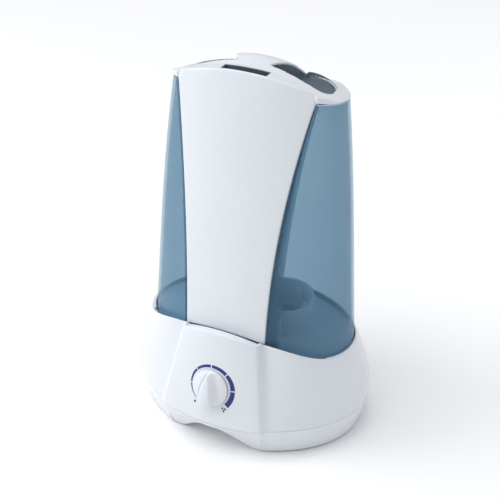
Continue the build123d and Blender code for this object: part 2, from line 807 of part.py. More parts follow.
nodes = {
    "base_shell": base_shell, "bottom_cover": bottom_cover, "rubber_feet": rubber_feet,
    "housing_screws": housing_screws, "cord_grommet": cord_grommet,
    "control_knob": control_knob, "pot_shaft": pot_shaft, "potentiometer_body": potentiometer_body,
    "pot_nut": pot_nut, "control_board": control_board,
    "basin": basin, "transducer_gasket": transducer_gasket, "transducer_disc": transducer_disc,
    "transducer_retainer": transducer_retainer, "retainer_screws": retainer_screws,
    "float": float_piece, "float_clip": float_clip, "reed_sensor": reed_sensor,
    "fan_housing": fan_housing, "fan_shaft": fan_shaft, "fan_impeller": fan_impeller,
    "fan_screws": fan_screws, "air_duct": air_duct,
    "driver_board": driver_board, "heat_sink": heat_sink, "board_screws": board_screws,
    "transformer_core": transformer_core, "transformer_winding": transformer_winding,
    "transformer_screws": transformer_screws,
    "tank_body": tank_body, "tank_floor": tank_floor,
    "tank_cap": tank_cap, "cap_gasket": cap_gasket, "valve_seal": valve_seal,
    "valve_plunger": valve_plunger, "valve_spring": valve_spring,
    "tower_front": tower_front, "mist_nozzle": mist_nozzle, "top_cap": top_cap,
}

os.makedirs("parts", exist_ok=True)
for node, make in nodes.items():
    save(node, make())
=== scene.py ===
import bpy
import json
import math
from mathutils import Matrix, Vector

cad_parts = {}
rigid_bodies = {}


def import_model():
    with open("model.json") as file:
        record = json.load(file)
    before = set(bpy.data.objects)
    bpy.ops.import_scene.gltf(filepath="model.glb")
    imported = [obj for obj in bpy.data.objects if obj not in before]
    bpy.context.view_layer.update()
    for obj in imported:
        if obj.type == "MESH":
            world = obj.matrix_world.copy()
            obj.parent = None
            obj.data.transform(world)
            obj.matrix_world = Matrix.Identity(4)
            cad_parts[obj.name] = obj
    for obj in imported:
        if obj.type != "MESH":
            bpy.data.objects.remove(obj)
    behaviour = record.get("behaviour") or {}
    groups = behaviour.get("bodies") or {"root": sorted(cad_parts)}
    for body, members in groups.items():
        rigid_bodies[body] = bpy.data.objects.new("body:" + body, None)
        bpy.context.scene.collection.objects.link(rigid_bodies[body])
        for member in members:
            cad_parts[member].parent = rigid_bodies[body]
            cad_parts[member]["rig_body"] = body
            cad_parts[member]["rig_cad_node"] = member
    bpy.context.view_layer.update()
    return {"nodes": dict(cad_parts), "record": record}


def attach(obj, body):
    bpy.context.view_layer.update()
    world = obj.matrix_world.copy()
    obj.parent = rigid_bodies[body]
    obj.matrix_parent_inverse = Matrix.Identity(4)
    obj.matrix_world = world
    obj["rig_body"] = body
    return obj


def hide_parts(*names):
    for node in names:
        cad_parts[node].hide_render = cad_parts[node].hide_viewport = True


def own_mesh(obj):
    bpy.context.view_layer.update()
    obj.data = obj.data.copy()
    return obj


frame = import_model()
bodyOf = {node: body for body, members in frame["record"]["behaviour"]["bodies"].items() for node in members}
mm = 0.001
grainDepth = 0.02                 # relief of a mould's texture
print("frame loaded:", len(bodyOf), "nodes")


def lerp(a, b, t):
    return a + (b - a) * t


def between(p, q, t):
    return tuple(lerp(a, b, t) for a, b in zip(p, q))


def bezier(points, t):
    while len(points) > 1:
        points = [between(a, b, t) for a, b in zip(points, points[1:])]
    return points[0]


def arcAcross(half, endY, midY, share):
    # place on the arc through (-half, endY), (0, midY), (half, endY), share from -1 to 1
    rise = endY - midY
    radius = (half ** 2 + rise ** 2) / (2 * rise)
    angle = share * math.asin(half / radius)
    return radius * math.sin(angle), midY + radius * (1 - math.cos(angle))


def deselectAll():
    if bpy.context.object and bpy.context.object.mode != "OBJECT":
        bpy.ops.object.mode_set(mode="OBJECT")
    bpy.ops.object.select_all(action="DESELECT")


def takeUp(piece):
    deselectAll()
    piece.select_set(True)
    bpy.context.view_layer.objects.active = piece


def editAll(piece):
    takeUp(piece)
    bpy.ops.object.mode_set(mode="EDIT")
    bpy.ops.mesh.select_all(action="SELECT")


def useModifier(piece, kind, **settings):
    takeUp(piece)
    modifier = piece.modifiers.new(kind.title(), kind)
    for name, value in settings.items():
        setattr(modifier, name, value)
    bpy.ops.object.modifier_apply(modifier=modifier.name)


def smoothBy(piece, degrees=35):
    takeUp(piece)
    bpy.ops.object.shade_smooth_by_angle(angle=math.radians(degrees))


def faceOut(piece, centre):
    # merges doubles, then turns an open skin so that it looks away from centre
    editAll(piece)
    bpy.ops.mesh.remove_doubles(threshold=0.02 * mm)
    bpy.ops.mesh.dissolve_degenerate(threshold=0.02 * mm)
    bpy.ops.mesh.select_all(action="SELECT")
    bpy.ops.mesh.normals_make_consistent(inside=False)
    bpy.ops.object.mode_set(mode="OBJECT")
    middle = Vector(centre) * mm
    facing = sum((p.center - middle).normalized().dot(p.normal) * p.area for p in piece.data.polygons)
    if facing < 0:
        bpy.ops.object.mode_set(mode="EDIT")
        bpy.ops.mesh.select_all(action="SELECT")
        bpy.ops.mesh.flip_normals()
        bpy.ops.object.mode_set(mode="OBJECT")


def skin(name, columns, rows, place, centre):
    # a grid whose points are laid on a formula, place(column, row) in millimetres
    deselectAll()
    bpy.ops.mesh.primitive_grid_add(x_subdivisions=columns, y_subdivisions=rows, size=1)
    piece = bpy.context.object
    piece.name = name
    for vertex in piece.data.vertices:
        column = round((vertex.co.x + 0.5) * columns)
        row = round((vertex.co.y + 0.5) * rows)
        vertex.co = Vector(place(column, row)) * mm
    faceOut(piece, centre)
    return piece


def settle(piece, material, slotName, body, *nodes):
    piece.data.materials.clear()
    piece.data.materials.append(material)
    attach(piece, body)
    if nodes:
        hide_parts(*nodes)
    return piece


def cleanCopy(node, name):
    # a CAD node's own shape with its doubles merged and its flat faces joined up
    takeUp(frame["nodes"][node])
    bpy.ops.object.duplicate(linked=False)
    piece = bpy.context.object
    piece.parent = None
    piece.name = name
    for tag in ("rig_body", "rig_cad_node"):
        piece.pop(tag, None)
    editAll(piece)
    bpy.ops.mesh.remove_doubles(threshold=0.005 * mm)
    bpy.ops.mesh.dissolve_limited(angle_limit=math.radians(1.0))
    bpy.ops.object.mode_set(mode="OBJECT")
    return piece


def linearColour(hexColour):
    channels = [int(hexColour[i:i + 2], 16) / 255 for i in (1, 3, 5)]
    return [c / 12.92 if c <= 0.04045 else ((c + 0.055) / 1.055) ** 2.4 for c in channels] + [1.0]


def addNode(material, kind, settings=None, links=None):
    node = material.node_tree.nodes.new(kind)
    for name, value in (settings or {}).items():
        if name in node.inputs:
            node.inputs[name].default_value = value
        else:
            setattr(node, name, value)
    for name, source in (links or {}).items():
        material.node_tree.links.new(source, node.inputs[name])
    return node


def newMaterial(name):
    material = bpy.data.materials.new(name)
    material.use_nodes = True
    nodes = material.node_tree.nodes
    return material, nodes["Principled BSDF"], nodes["Material Output"]


def surfaceGrain(material, look):
    # two noises on object coordinates: a slow one for colour and a fine one for the skin's texture
    place = addNode(material, "ShaderNodeTexCoord").outputs["Object"]
    slow = addNode(material, "ShaderNodeTexNoise", {"Scale": 1 / (look["driftSize"] * mm), "Detail": 3.0},
                   {"Vector": place})
    fine = addNode(material, "ShaderNodeTexNoise", {"Scale": 1 / (look["grainSize"] * mm), "Detail": 2.0},
                   {"Vector": place})
    return slow.outputs["Fac"], fine.outputs["Fac"]


def moulded(name, look):
    # injection-moulded or pressed stuff: an even body colour that drifts a little, and a fine skin
    material, shader, _ = newMaterial(name)
    slow, fine = surfaceGrain(material, look)
    colour = addNode(material, "ShaderNodeMixRGB",
                     {"Color1": linearColour(look["colour"]), "Color2": linearColour(look["drift"])},
                     {"Fac": slow})
    sheen = addNode(material, "ShaderNodeMapRange",
                    {"To Min": look["roughness"][0], "To Max": look["roughness"][1]}, {"Value": slow})
    bump = addNode(material, "ShaderNodeBump", {"Strength": look["bump"], "Distance": grainDepth * mm},
                   {"Height": fine})
    shader.inputs["IOR"].default_value = look.get("ior", 1.5)
    shader.inputs["Metallic"].default_value = look.get("metallic", 0.0)
    shader.inputs["Coat Weight"].default_value = look.get("coat", 0.0)
    shader.inputs["Subsurface Weight"].default_value = look.get("soft", 0.0)
    shader.inputs["Subsurface Scale"].default_value = 2 * mm
    links = material.node_tree.links
    links.new(colour.outputs["Color"], shader.inputs["Base Color"])
    links.new(sheen.outputs["Result"], shader.inputs["Roughness"])
    links.new(bump.outputs["Normal"], shader.inputs["Normal"])
    return material


finishes = {
    # gloss ABS straight from a polished mould: cool white, crisp highlights, faint orange peel
    "glossAbs": {"colour": "#e6e9ee", "drift": "#e2e6eb", "roughness": (0.20, 0.26), "bump": 0.05,
                 "grainSize": 0.9, "driftSize": 60.0, "ior": 1.53, "soft": 0.05},
    # painted shade: the same ABS in dark slate for the cap's wells, the mist slot and the gap beside the
    # tower, from a spark-eroded mould, so it hardly shines
    "paintedShadeSlate": {"colour": "#566571", "drift": "#5d6c78", "roughness": (0.45, 0.55), "bump": 0.25,
                 "grainSize": 0.5, "driftSize": 25.0, "ior": 1.53},
    # polypropylene fan, retainer and clips: mid grey and slightly waxy
    "greyPolypropylene": {"colour": "#8d959d", "drift": "#828a92", "roughness": (0.38, 0.46), "bump": 0.2,
                          "grainSize": 0.6, "driftSize": 20.0, "ior": 1.49},
    # nitrile rubber feet and grommet: dull, a little dusty
    "nitrileRubber": {"colour": "#2d2f32", "drift": "#3a3c3f", "roughness": (0.7, 0.85), "bump": 0.4,
                      "grainSize": 0.4, "driftSize": 8.0, "ior": 1.52},
    # zinc-plated steel: bright with a slight blue cast
    "zincSteel": {"colour": "#b9bdc2", "drift": "#a8adb4", "roughness": (0.25, 0.38), "bump": 0.15,
                  "grainSize": 0.3, "driftSize": 5.0, "metallic": 1.0},
    # turned brass, nickel rubbed off at the edges
    "turnedBrass": {"colour": "#c9a860", "drift": "#b8954e", "roughness": (0.22, 0.34), "bump": 0.15,
                    "grainSize": 0.3, "driftSize": 5.0, "metallic": 1.0},
    # glass-epoxy board under green solder mask
    "solderMask": {"colour": "#1f5a3a", "drift": "#2a6d45", "roughness": (0.3, 0.4), "bump": 0.3,
                   "grainSize": 0.6, "driftSize": 6.0, "coat": 0.3},
    # extruded and anodised aluminium heat sink
    "anodisedAluminium": {"colour": "#a9adb1", "drift": "#9ca0a5", "roughness": (0.35, 0.48), "bump": 0.2,
                          "grainSize": 0.3, "driftSize": 10.0, "metallic": 1.0},
    # silicone seals: pale, soft and matt
    "siliconeSeal": {"colour": "#c9ced3", "drift": "#bfc5cb", "roughness": (0.5, 0.6), "bump": 0.15,
                     "grainSize": 0.5, "driftSize": 10.0, "ior": 1.41, "soft": 0.2},
    # closed-cell foam float: chalky white with open pores at its skin
    "cellFoam": {"colour": "#f0efea", "drift": "#e4e2da", "roughness": (0.8, 0.9), "bump": 0.9,
                 "grainSize": 0.8, "driftSize": 6.0},
    # pad-printed ink: a thin even film of navy
    "padInk": {"colour": "#1d2f7a", "drift": "#22357f", "roughness": (0.35, 0.42), "bump": 0.1,
               "grainSize": 0.3, "driftSize": 4.0},
}
materials = {name: moulded(name, look) for name, look in finishes.items()}


def tintedSan(name, look):
    # clear SAN with blue dye, a wall of 2.5 mm: light goes through tinted, and the skin is polished
    material, shader, output = newMaterial(name)
    slow, fine = surfaceGrain(material, look)
    dye = addNode(material, "ShaderNodeMixRGB",
                  {"Color1": linearColour(look["through"]), "Color2": linearColour(look["throughDrift"])},
                  {"Fac": slow})
    clear = addNode(material, "ShaderNodeBsdfTransparent", links={"Color": dye.outputs["Color"]})
    bump = addNode(material, "ShaderNodeBump", {"Strength": look["bump"], "Distance": grainDepth * mm},
                   {"Height": fine})
    shader.inputs["Base Color"].default_value = linearColour(look["body"])
    shader.inputs["Roughness"].default_value = look["roughness"]
    shader.inputs["IOR"].default_value = look["ior"]
    shader.inputs["Specular IOR Level"].default_value = 0.5
    edge = addNode(material, "ShaderNodeLayerWeight", {"Blend": look["edgeBlend"]})
    share = addNode(material, "ShaderNodeMapRange", {"To Min": look["haze"], "To Max": look["edgeHaze"]},
                    {"Value": edge.outputs["Facing"]})
    mix = addNode(material, "ShaderNodeMixShader", links={"Fac": share.outputs["Result"]})
    links = material.node_tree.links
    links.new(bump.outputs["Normal"], shader.inputs["Normal"])
    links.new(clear.outputs["BSDF"], mix.inputs[1])
    links.new(shader.outputs["BSDF"], mix.inputs[2])
    links.new(mix.outputs["Shader"], output.inputs["Surface"])
    return material


tankLook = {"through": "#e3edf2", "throughDrift": "#dfebf1", "body": "#7399b3", "roughness": 0.10,
            "ior": 1.57, "haze": 0.12, "edgeHaze": 0.60, "edgeBlend": 0.25, "bump": 0.04, "grainSize": 2.0,
            "driftSize": 90.0}
materials["tintedSan"] = tintedSan("tintedSan", tankLook)
# the tank's floor and collar: the same SAN from a textured mould, so it is milky
frostedLook = {**tankLook, "body": "#dcecf7", "roughness": 0.35, "haze": 0.88, "edgeHaze": 0.85, "bump": 0.2,
               "grainSize": 0.6}
materials["frostedSan"] = tintedSan("frostedSan", frostedLook)


def enamelledWire(name, look):
    # copper wire laid side by side under lacquer: fine ridges round the coil, their colour dark in the
    # grooves and light on the crests as painted shade and painted highlight
    material, shader, _ = newMaterial(name)
    place = addNode(material, "ShaderNodeTexCoord").outputs["Object"]
    turns = addNode(material, "ShaderNodeTexWave",
                    {"Scale": 0.314 / (look["wire"] * mm), "bands_direction": "Z",
                                                    "Distortion": 0.4}, {"Vector": place})
    colour = addNode(material, "ShaderNodeMixRGB",
                     {"Color1": linearColour(look["dark"]), "Color2": linearColour(look["light"])},
                     {"Fac": turns.outputs["Fac"]})
    bump = addNode(material, "ShaderNodeBump", {"Strength": 0.6, "Distance": 0.1 * mm},
                   {"Height": turns.outputs["Fac"]})
    shader.inputs["Metallic"].default_value = 0.8
    shader.inputs["Roughness"].default_value = 0.35
    shader.inputs["Coat Weight"].default_value = 0.4
    material.node_tree.links.new(colour.outputs["Color"], shader.inputs["Base Color"])
    material.node_tree.links.new(bump.outputs["Normal"], shader.inputs["Normal"])
    return material


# dark is the painted shade in the grooves between turns, light the painted highlight on their crests
wireLook = {"dark": "#7c3f22", "light": "#b8693c", "wire": 0.9}
materials["enamelledWire"] = enamelledWire("enamelledWire", wireLook)
print("finishes made:", len(materials))


base = {
    "seamZ": 33.0, "seamGap": 0.35, "wide": 122.0, "footWide": 112.6, "wideZ": 39.0,
    "taper": 16.5 / 55.0 ** 2,
    "back": 96.6, "footBack": 88.0, "middleY": 10.0, "wall": 2.5,
    "lean": math.radians(14.6), "panelZ": 114.7, "panelHalf": 38.2, "panelFlare": 0.168, "panelY": -65.0,
    "panelBulge": 7.6, "panelCrown": 6.0, "chamferTop": (41.2, -49.0), "chamferZ": 111.6,
    "creaseRound": 1.8, "cornerRound": 2.4, "rimRound": 0.9, "rimGap": 0.8, "deckZ": 84.0, "ledgeDrop": 3.0,
}
ring = {"arc": 12, "crease": 4, "chamfer": 3, "corner": 4, "side": 26, "rear": 28}   # columns in half a turn
frontColumns = ring["arc"] + ring["crease"] + ring["chamfer"] + ring["corner"]
halfColumns = frontColumns + ring["side"] + ring["rear"]


def baseHalf(z):
    if z < base["seamZ"]:
        return lerp(base["footWide"], base["wide"], (z / base["seamZ"]) ** 0.75)
    return base["wide"] - base["taper"] * (z - base["wideZ"]) ** 2


def baseRear(z):
    if z < base["seamZ"]:
        return lerp(base["footBack"], base["back"], (z / base["seamZ"]) ** 0.75)
    return base["back"] - 10.5 * ((z - base["wideZ"]) / 55.0) ** 2


def panelMid(z):
    return base["panelY"] - math.tan(base["lean"]) * (base["panelZ"] - z)


def frontCorners(z):
    # outer and inner end of the chamfer beside the panel, and the middle of the panel's face
    if z < base["seamZ"]:
        t = z / base["seamZ"]
        return between((48.4, -66.8), (55.6, -73.1), t), between((47.4, -66.8), (51.9, -78.7), t), \
            lerp(-67.2, -86.3, t)
    down, drop = base["chamferZ"] - z, base["panelZ"] - z
    outer = (base["chamferTop"][0] + 0.183 * down, base["chamferTop"][1] - 0.307 * down)
    inner = (base["panelHalf"] + base["panelFlare"] * drop, panelMid(z) + base["panelBulge"])
    return outer, inner, panelMid(z)


def shareIn(column, counts):
    # which stretch of the plan a column lies on, and how far along it
    for stretch, count in enumerate(counts):
        if column <= count:
            return stretch, column / count
        column -= count
    return len(counts) - 1, 1.0


def baseHalfPoint(column, z, inset):
    outer, inner, midY = frontCorners(z)
    outer = (outer[0] - inset, outer[1] + inset)
    inner = (inner[0] - inset, inner[1] + inset)
    rise = max(0.0, (z - base["seamZ"]) / 80.0)
    side = (baseHalf(z) - inset, base["middleY"])
    leanIn = (side[0], lerp(-25.0, -20.0, rise) + inset)
    shoulder = between((92.0, -58.0), (73.0, -49.5), rise)
    if z < base["seamZ"]:
        shoulder = between((85.0, -52.0), (92.0, -58.0), z / base["seamZ"])
    flank = [outer, (shoulder[0] - inset, shoulder[1] + inset), leanIn, side]
    chamfer = math.dist(inner, outer)
    arcEnd = 1 - base["creaseRound"] / inner[0]
    sideStart = base["cornerRound"] / (3 * math.dist(flank[0], flank[1]))
    creaseEnd = between(inner, outer, base["creaseRound"] / chamfer)
    cornerStart = between(outer, inner, base["cornerRound"] / chamfer)
    stretch, t = shareIn(column, list(ring.values()))
    if stretch == 0:
        return arcAcross(inner[0], inner[1], midY + inset, arcEnd * t)
    if stretch == 1:
        return bezier([arcAcross(inner[0], inner[1], midY + inset, arcEnd), inner, creaseEnd], t)
    if stretch == 2:
        return between(creaseEnd, cornerStart, t)
    if stretch == 3:
        return bezier([cornerStart, outer, bezier(flank, sideStart)], t)
    if stretch == 4:
        return bezier(flank, lerp(sideStart, 1.0, t))
    angle = t * math.pi / 2
    return side[0] * math.cos(angle), side[1] + (baseRear(z) - inset - side[1]) * math.sin(angle)


tank = {
    "channelBack": (-21.0, -1.8), "channelZ": 94.0, "channelRise": 246.0,
    "wallZ": 90.0, "rimZ": 334.0, "tilt": 0.17, "wall": 2.5, "half": 103.3,
    "draw": 18.5, "round": 4.5, "midY": (12.0, 26.0), "back": (84.0, 78.0), "edgeRound": 1.0,
    "channelRound": 2.5,
}
tower = {
    "flangeLow": (100, 9.0), "flangeHigh": (334, 1.2), "flangeStart": 90, "flangeSpan": 245,
    "z": 112.0, "rise": 232.0, "half": 40.9, "flare": 25.3, "faceY": -51.2, "lean": 20.3, "sweep": 17.1,
    "faceRadius": 195.0, "crownZ": 357.0, "crownDrop": 13.0, "crownHalf": 66.0, "seamMidY": 5.0,
    "seamEndY": -4.7,
    "wall": 2.4, "edgeRound": 1.4, "topRound": 1.5, "slotHalf": 21.5, "slotFront": 1.8, "slotDepth": 9.8,
}


def towerWidth(z):
    return tower["half"] + tower["flare"] * max(0.0, (z - tower["z"]) / tower["rise"]) ** 2


def faceMid(z):
    t = (z - tower["z"]) / tower["rise"]
    return tower["faceY"] + tower["lean"] * t + tower["sweep"] * max(t, 0.0) ** 2


def faceAt(x, z):
    return faceMid(z) + x ** 2 / (2 * tower["faceRadius"])


def tankSide(z, grow, corner):
    # the flank from a front corner, then the half ellipse at the back
    s = max(0.0, (z - 88.0) / 252.0)
    half = tank["half"] - tank["draw"] * s - tank["round"] * s ** 4 + grow
    mid, back = lerp(*tank["midY"], s), lerp(*tank["back"], s) + grow
    late = s ** 3
    shoulder = (corner[0] + lerp(21.0, 9.0, late) + grow, corner[1] + lerp(4.3, 8.0, late) - grow / 2)
    leanIn = (half, mid - lerp(32.0, 15.0, late) - grow * 0.4)
    return [corner, shoulder, leanIn, (half, mid)], back


def seatHalfPoint(column, z, grow):
    corner = (towerWidth(z) + 0.4, faceAt(towerWidth(z), z) - 0.8 - grow)
    flank, back = tankSide(z, grow, corner)
    stretch, t = shareIn(column, [frontColumns, ring["side"], ring["rear"]])
    if stretch == 0:
        return arcAcross(corner[0], corner[1], faceMid(z) - 1.2 - grow, t)
    if stretch == 1:
        return bezier(flank, t)
    angle = t * math.pi / 2
    return flank[3][0] * math.cos(angle), flank[3][1] + (back - flank[3][1]) * math.sin(angle)


def fullRing(halfPoint, count, column, *numbers):
    # the right half as it is, the left half mirrored
    column = column % (2 * count)
    if column <= count:
        return halfPoint(column, *numbers)
    x, y = halfPoint(2 * count - column, *numbers)
    return -x, y


swoop = [(-49.5, 113.6), (-38.0, 103.5), (-27.0, 94.0), (-8.0, 94.0)]


def rimHeight(x, y):
    if y < swoop[0][0]:
        return base["panelZ"] + base["panelCrown"] * (1 - (x / base["panelHalf"]) ** 2)
    low, high = 0.0, 1.0
    for _ in range(24):
        t = (low + high) / 2
        low, high = (t, high) if bezier(swoop, t)[0] < y else (low, t)
    return bezier(swoop, low)[1] if y < swoop[3][0] else swoop[3][1]


def rimOn(halfPoint, column, inset):
    # where a column of the wall meets the rim
    z = 100.0
    for _ in range(12):
        x, y = fullRing(halfPoint, halfColumns, column, z, inset)
        z = lerp(z, rimHeight(x, y), 0.8)
    return x, y, z


def housingPath(column):
    # one upright section: up the outside, over the rim, down into the recess, under the deck, down inside
    def wallAt(z, inset=0.0):
        x, y = fullRing(baseHalfPoint, halfColumns, column, z, inset)
        return x, y, z
    bottom = base["seamZ"] + base["seamGap"] / 2
    crest = rimOn(baseHalfPoint, column, 0.0)
    inner = rimOn(seatHalfPoint, column, base["rimGap"])
    land = max(math.dist(crest, inner), 0.5)
    turn = min(base["rimRound"], land * 0.45)
    path = [wallAt(lerp(bottom, crest[2] - turn, i / 16)) for i in range(17)]
    path += [bezier([path[16], crest, between(crest, inner, turn / land)], i / 3) for i in range(1, 4)]
    def seatAt(z):
        return *fullRing(seatHalfPoint, halfColumns, column, z, base["rimGap"]), z
    ledge = max(base["deckZ"] + 4.0, inner[2] - base["ledgeDrop"])
    if land > 2 * base["wall"]:   # behind the panel a trough parts its thin edge from the seat
        brink = between(crest, inner, base["wall"] / land)
        down = (brink[0], brink[1], ledge)
        path += [bezier([between(brink, crest, turn / land), brink, (*brink[:2], brink[2] - turn)], i / 3)
                 for i in range(4)]
        path += [down, between(down, seatAt(ledge), 0.5), seatAt(ledge)]
    else:
        seatTop = seatAt(inner[2] - turn)
        path += [bezier([between(inner, crest, turn / land), inner, seatTop], i / 3) for i in range(4)]
        path += [seatAt(lerp(inner[2] - turn, ledge, i / 3)) for i in (1, 2, 3)]
    path += [seatAt(lerp(ledge, base["deckZ"], 0.5)), seatAt(base["deckZ"])]
    x, y = path[-1][0], path[-1][1]
    path += [(x * 0.9, lerp(y, 10.0, 0.1), base["deckZ"]), (x * 0.9, lerp(y, 10.0, 0.1), base["deckZ"] - 2.0)]
    path += [wallAt(z, base["wall"]) for z in (base["deckZ"] - 2.0, 66.0, 50.0, bottom)]
    return path + path[:1]


def baseHousing():
    paths = [housingPath(column) for column in range(2 * halfColumns)]
    piece = skin("baseHousing", 2 * halfColumns, len(paths[0]) - 1,
                 lambda column, row: paths[column % (2 * halfColumns)][row], (0, 10, 50))
    editAll(piece)
    bpy.ops.mesh.normals_make_consistent(inside=False)
    bpy.ops.object.mode_set(mode="OBJECT")
    smoothBy(piece, 38)
    return settle(piece, materials["glossAbs"], "white_shell", "base", "base_shell")


baseHousing()
print("base housing made")


cover = {"underZ": 1.2, "archHalf": 43.0, "archTop": 25.5, "archBack": -42.4, "edgeRound": 1.6}


def archHeight(x):
    # the foot opening at the front, from the floor at its ends to its crown
    curve = [(0, cover["archTop"]), (20, cover["archTop"]), (27, 3.5),
             (cover["archHalf"], cover["underZ"] - 3.0)]
    low, high = 0.0, 1.0
    for _ in range(24):
        t = (low + high) / 2
        low, high = (t, high) if bezier(curve, t)[0] < abs(x) else (low, t)
    return max(bezier(curve, low)[1], cover["underZ"])


def coverPath(column):
    def wallAt(z):
        x, y = fullRing(baseHalfPoint, halfColumns, column, z, 0.0)
        return x, y, z
    top = base["seamZ"] - base["seamGap"] / 2
    foot = wallAt(cover["underZ"])
    for _ in range(8):
        inFront = foot[1] < 0 and abs(foot[0]) < cover["archHalf"]
        foot = wallAt(archHeight(foot[0]) if inFront else cover["underZ"])
    arched = foot[2] > cover["underZ"] + 0.01
    turn = cover["edgeRound"]
    x, y, z = foot
    roof = (x, cover["archBack"], z) if arched else (x * 0.93, lerp(y, 10.0, 0.07), z)
    if not arched and y < cover["archBack"] and abs(x) < 60:
        roof = (x, max(y + 8.0, cover["archBack"]), z)
    rim = fullRing(baseHalfPoint, halfColumns, column, top, base["wall"])
    path = [(*rim, top - 6.0), (*rim, top)]
    path += [wallAt(lerp(top, z + turn, i / 10)) for i in range(11)]
    heel = [path[-1], foot, between(foot, roof, turn / math.dist(foot, roof))]
    path += [bezier(heel, i / 4) for i in (1, 2, 3, 4)]
    path += [between(path[-1], roof, 0.5), roof]
    foot2 = (roof[0], roof[1], cover["underZ"])
    path.append(foot2)
    centre = (foot2[0] * 0.5, lerp(foot2[1], 10.0, 0.5), cover["underZ"])
    return path + [centre, (0.0, 10.0, cover["underZ"])]


def bottomCover():
    paths = [coverPath(column) for column in range(2 * halfColumns)]
    piece = skin("bottomCover", 2 * halfColumns, len(paths[0]) - 1,
                 lambda column, row: paths[column % (2 * halfColumns)][row], (0, 10, 25))
    smoothBy(piece, 38)
    return settle(piece, materials["glossAbs"], "white_shell", "base", "bottom_cover")


bottomCover()
print("bottom cover made")


tankRing = {"channel": 6, "channelCorner": 3, "cheek": 5, "edge": 3, "side": 26, "rear": 28}
tankColumns = sum(tankRing.values())


def tankHalfPoint(column, z, inset):
    half = towerWidth(z) + 0.4 + inset
    corner = (half, faceAt(towerWidth(z), z) + 0.6 + inset)
    back = lerp(*tank["channelBack"], (z - tank["channelZ"]) / tank["channelRise"]) + inset
    flank, rear = tankSide(z, -inset, corner)
    inner = (half, back)
    cheek = abs(back - corner[1])
    channelRound, edgeRound = min(tank["channelRound"], cheek * 0.3), min(tank["edgeRound"], cheek * 0.3)
    edgeEnd = edgeRound / (3 * math.dist(flank[0], flank[1]))
    cheekStart, cheekEnd = (half, back - channelRound), (half, corner[1] + edgeRound)
    stretch, t = shareIn(column, list(tankRing.values()))
    if stretch == 0:
        return (half - channelRound) * t, back
    if stretch == 1:
        return bezier([(half - channelRound, back), inner, cheekStart], t)
    if stretch == 2:
        return between(cheekStart, cheekEnd, t)
    if stretch == 3:
        return bezier([cheekEnd, corner, bezier(flank, edgeEnd)], t)
    if stretch == 4:
        return bezier(flank, lerp(edgeEnd, 1.0, t))
    angle = t * math.pi / 2
    return flank[3][0] * math.cos(angle), flank[3][1] + (rear - flank[3][1]) * math.sin(angle)


def tankPoint(column, row, rows):
    z = tank["rimZ"]
    for _ in range(6):
        x, y = fullRing(tankHalfPoint, tankColumns, column, z, 0.0)
        z = tank["rimZ"] - tank["tilt"] * (y - 5.0)
    z = lerp(tank["wallZ"], z, row / rows)
    return (*fullRing(tankHalfPoint, tankColumns, column, z, 0.0), z)


def tankWall():
    rows = 30
    piece = skin("tankWall", 2 * tankColumns, rows, lambda column, row: tankPoint(column, row, rows),
                 (0, 20, 210))
    useModifier(piece, "SOLIDIFY", thickness=tank["wall"] * mm, offset=-1.0, use_even_offset=True)
    useModifier(piece, "BEVEL", width=0.5 * mm, segments=2, limit_method="ANGLE",
                angle_limit=math.radians(60))
    smoothBy(piece, 40)
    return settle(piece, materials["tintedSan"], "tank_blue", "tank", "tank_body")


tankWall()
print("tank made")


towerRing = {"slot": 6, "face": 14, "edge": 4, "flange": 3}
towerColumns = sum(towerRing.values())
slotShare = 0.316                 # how far the slot reaches along the half width
towerRows = {"face": 36, "turn": 4, "roof": 3, "seam": 1}


def vaultZ(x):
    return tower["crownZ"] - tower["crownDrop"] * (x / tower["crownHalf"]) ** 2


def seamY(x):
    half = tower["crownHalf"] + 0.6
    rise = tower["seamMidY"] - tower["seamEndY"]
    radius = (half ** 2 + rise ** 2) / (2 * rise)
    return tower["seamMidY"] - radius + math.sqrt(radius ** 2 - x ** 2)


def towerTop(share):
    # the face ends at the vault or, near its corners, at the seam with the cap
    low, high = 300.0, 362.0
    for _ in range(26):
        z = (low + high) / 2
        x = share * towerWidth(z)
        low, high = (z, high) if z < vaultZ(x) and faceAt(x, z) < seamY(x) else (low, z)
    return low


def towerSection(column, z):
    # the tower's plan from the middle of the face to the back of the flange
    width = towerWidth(z)
    turn = tower["edgeRound"]
    corner = (width, faceAt(width, z))
    lastShare = 1 - turn / width
    low, high = tower["flangeLow"], tower["flangeHigh"]   # height and depth of the flange at its two ends
    climb = (z - tower["flangeStart"]) / tower["flangeSpan"]
    back = max(lerp(faceAt(towerWidth(low[0]), low[0]) + low[1],
                    faceAt(towerWidth(high[0]), high[0]) + high[1], climb),
               corner[1] + turn + 0.4)
    stretch, t = shareIn(column, list(towerRing.values()))
    if stretch < 2:
        share = slotShare * t if stretch == 0 else lerp(slotShare, lastShare, t)
        return share * width, faceAt(share * width, z)
    if stretch == 2:
        start = (lastShare * width, faceAt(lastShare * width, z))
        return bezier([start, corner, (width, corner[1] + turn)], t)
    return width, lerp(corner[1] + turn, back, t)


